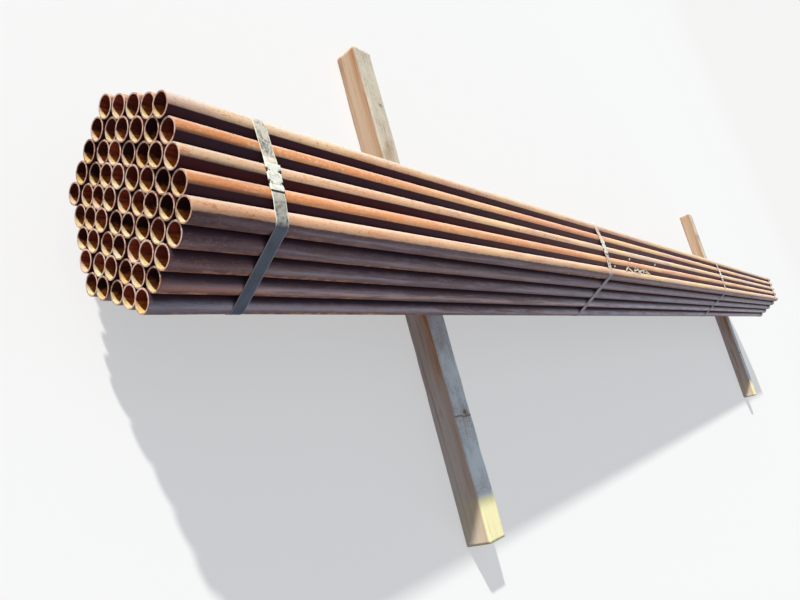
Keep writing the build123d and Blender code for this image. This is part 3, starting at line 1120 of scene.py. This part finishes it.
def bearer(node, skew, seed):
    """One timber across the bundle."""
    low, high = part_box(node)
    centre = (low + high) / 2
    outline = bearer_outline()
    turn = Matrix.Rotation(skew, 3, "Z")
    seed_place = Vector((seed * 5.3, seed * 1.7, seed * 2.9))
    vertices, faces, values = [], [], {}

    def add(across, along, up, is_end):
        place = Vector((across, along, up))
        both = max(HALF_WIDTH - abs(across), HALF_HEIGHT - abs(up))
        rough = noise.noise(Vector((across * 55, along * 7, up * 55)) + seed_place)
        wear = noise.noise(Vector((across * 9, along * 11, up * 9)) + seed_place * 2)
        cut = CUT_DEPTH * (rough + 1)
        worn = WORN_DEPTH * max(0.0, wear + 0.25) * (1 - smooth(both, 0.0, WORN_REACH))
        inward = -Vector((across, 0.0, up)).normalized() * (cut * 0.5 + worn)
        if up < -HALF_HEIGHT + FOOT_HEIGHT:
            inward.z = max(inward.z, 0.0)
        place += inward
        if is_end:
            place.y -= math.copysign(END_CUT_DEPTH * (rough + 1), along)
        place.z = min(place.z, HALF_HEIGHT)
        vertices.append(centre + turn @ place)

        on_top = smooth(up, HALF_HEIGHT - 7 * MM, HALF_HEIGHT - 2 * MM)
        runs = smooth(up, HALF_HEIGHT - 46 * MM, HALF_HEIGHT - 14 * MM)
        runs *= 0.55 + 0.6 * noise.noise(Vector((across, along * 3, seed)))
        stain = smooth(up, 0.0, 14 * MM) * (1 - smooth(up, 32 * MM, 46 * MM))
        stain *= smooth(along, *STAIN_ALONG) if along < 0 else 0.0
        dark = 0.0
        for knot_y, knot_x, size in KNOTS:
            away = math.hypot((along - knot_y) / 0.7, across - knot_x)
            dark = max(dark, 1 - smooth(away, size * 0.35, size))
        here = {
            "grey": max(on_top, 0.06 + 0.12 * smooth(up, -HALF_HEIGHT, HALF_HEIGHT)),
            "end": 1.0 if is_end else 0.0,
            "streak": (1 - on_top) * max(runs, 1.3 * stain),
            "knot": dark * 0.75 if up > 0 else 0.0,
            # Painted sunlight near the near-side end, stronger on top.
            "cream": 0.0 if is_end else smooth(-along, *SUN_PATCH_FROM) * (0.3 + 0.6 * on_top),
            "far_side": smooth(along, *FAR_SIDE_FROM),
            "top": on_top,
        }
        for key, value in here.items():
            values.setdefault(key, []).append(value)
        return len(vertices) - 1

    rings = []
    for n in range(LONG_CELLS + 1):
        along = -BEARER_LENGTH / 2 + BEARER_LENGTH * n / LONG_CELLS
        rings.append([add(point.x, along, point.y, False) for point in outline])
    for first, second in zip(rings, rings[1:]):
        faces += ring_quads(first, second, True)
    for ring, along in ((rings[0], -BEARER_LENGTH / 2), (rings[-1], BEARER_LENGTH / 2)):
        loops = [ring]
        for scale in END_RINGS:
            loops.append([add(point.x * scale, along, point.y * scale, True) for point in outline])
        middle = add(0.0, along, 0.0, True)
        end_faces = []
        for first, second in zip(loops, loops[1:]):
            end_faces += ring_quads(first, second)
        last = loops[-1]
        end_faces += [(first, middle, second) for first, second in zip(last, last[1:] + last[:1])]
        faces += end_faces if along < 0 else [tuple(reversed(face)) for face in end_faces]
    name = "timber_" + node.removeprefix("bearer_")
    piece = mesh_piece(name, vertices, faces, ["timber"], values)
    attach(piece, "root")
    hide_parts(node)


for seed, (node, skew) in enumerate(BEARERS.items(), start=1):
    bearer(node, skew, seed)

# Debris: dry splinters on the top pipes, as groove, place along, length in mm and turn in degrees.
SPLINTERS = (
    (1, -1.085, 60, 24), (1, -1.05, 62, -20), (1, -0.985, 48, 34), (1, -0.962, 80, 9), (1, -0.93, 56, -28),
    (1, -0.905, 90, 12), (1, -0.862, 50, 30), (1, -0.846, 84, -10), (1, -0.8, 70, -24), (2, -0.64, 34, 28),
    (2, -1.01, 22, 30), (1, -1.235, 20, 30),
)
SPLINTER_REST = 23.6 * MM
SPLINTER_REACH = 15.5 * MM
SPLINTER_LIFT = 2.2 * MM
SPLINTER_CELLS = 6
SPLINTER_SHAPES = random.Random(23)


def splinters():
    """Thin curled strips, each lying across the shoulders of two pipes."""
    vertices, faces = [], []
    for groove, x, length, turn in SPLINTERS:
        groove_y = (groove - PIPES_PER_SIDE / 2) * PITCH
        cos, sin = facing(turn)
        half_width = SPLINTER_SHAPES.uniform(3.0, 5.5) * MM
        start = len(vertices)
        for n in range(SPLINTER_CELLS + 1):
            lane = 2 * n / SPLINTER_CELLS - 1
            middle = lane * length * MM / 2
            narrow = half_width * (1 - 0.6 * lane**2) * SPLINTER_SHAPES.uniform(0.7, 1.0)
            lift = SPLINTER_LIFT * lane**2 * SPLINTER_SHAPES.uniform(0.2, 1.0)
            for side in (-1, 1):
                along = middle * cos - side * narrow * sin
                across = middle * sin + side * narrow * cos
                across = min(max(across, -SPLINTER_REACH), SPLINTER_REACH)
                vertices.append((x + along, groove_y + across, TOP_AXIS_Z + SPLINTER_REST + lift))
            if n:
                a = start + 2 * n
                faces.append((a - 2, a, a + 1, a - 1))
    piece = mesh_piece("debris_splinters", vertices, faces, ["chip"])
    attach(piece, "root")


splinters()

# Camera: rolled by about 65 degrees, as the photograph is. Pixels are in its frame of 800 by 600.
CAMERA_PLACE = Vector((-3.7854, -0.5724, 1.2728))
LOOK = Vector((0.79105, 0.18958, -0.58164)).normalized()
PICTURE_RIGHT = Vector((0.61165, -0.26258, 0.74628)).normalized()
PICTURE_DOWN = LOOK.cross(PICTURE_RIGHT).normalized()
PICTURE_WIDTH = 800
PICTURE_HEIGHT = 600
FOCAL_PIXELS = 624.96
LENS_CENTRE_X = 411.6
LENS_CENTRE_Y = 325.9
SENSOR_WIDTH = 36.0

camera_data = bpy.data.cameras.new("camera")
camera_data.sensor_width = SENSOR_WIDTH
camera_data.lens = FOCAL_PIXELS / PICTURE_WIDTH * SENSOR_WIDTH
camera_data.shift_x = (PICTURE_WIDTH / 2 - LENS_CENTRE_X) / PICTURE_WIDTH
camera_data.shift_y = (LENS_CENTRE_Y - PICTURE_HEIGHT / 2) / PICTURE_WIDTH
camera_data.clip_start = 0.05
camera_data.clip_end = 100.0
camera = into_scene("camera", camera_data)
camera_turn = Matrix((PICTURE_RIGHT, -PICTURE_DOWN, -LOOK)).transposed()
camera.matrix_world = Matrix.Translation(CAMERA_PLACE) @ camera_turn.to_4x4()
bpy.context.scene.camera = camera

# Floor.
FLOOR_HALF = 150.0
floor_corners = [(x * FLOOR_HALF, y * FLOOR_HALF, 0.0) for x, y in ((-1, -1), (1, -1), (1, 1), (-1, 1))]
floor = mesh_piece("studio_floor", floor_corners, [(0, 1, 2, 3)], ["floor"])

# Light: a lamp like a low sun from the far side, a weak wide one from the near side, and an even surround
# that shows white. A spread is in degrees.
def distant_lamp(name, toward, strength, spread, colour):
    data = bpy.data.lights.new(name, "SUN")
    data.energy = strength
    data.angle = math.radians(spread)
    data.color = colour
    turn = Vector(toward).normalized().to_track_quat("Z", "Y")
    into_scene(name, data).matrix_world = turn.to_matrix().to_4x4()


distant_lamp("key", toward=(-0.313, 0.823, 0.464), strength=4.8, spread=2, colour=(1.0, 0.97, 0.92))
distant_lamp("soft", toward=(0.66, -0.74, 0.1), strength=0.62, spread=24, colour=(0.92, 0.96, 1.0))

world = bpy.data.worlds.new("surround")
bpy.context.scene.world = world
surround = Shader(world)
surround.nodes.clear()
fill = surround.add("Background", Color=(0.8, 0.9, 1.0), Strength=0.37)
white = surround.add("Background", Color=SURROUND_WHITE, Strength=1.0)
either = surround.add("MixShader", surround.shown_ray(), fill.outputs[0], white.outputs[0])
surround.add("OutputWorld", either.outputs[0])

bpy.context.scene.view_settings.view_transform = "Standard"
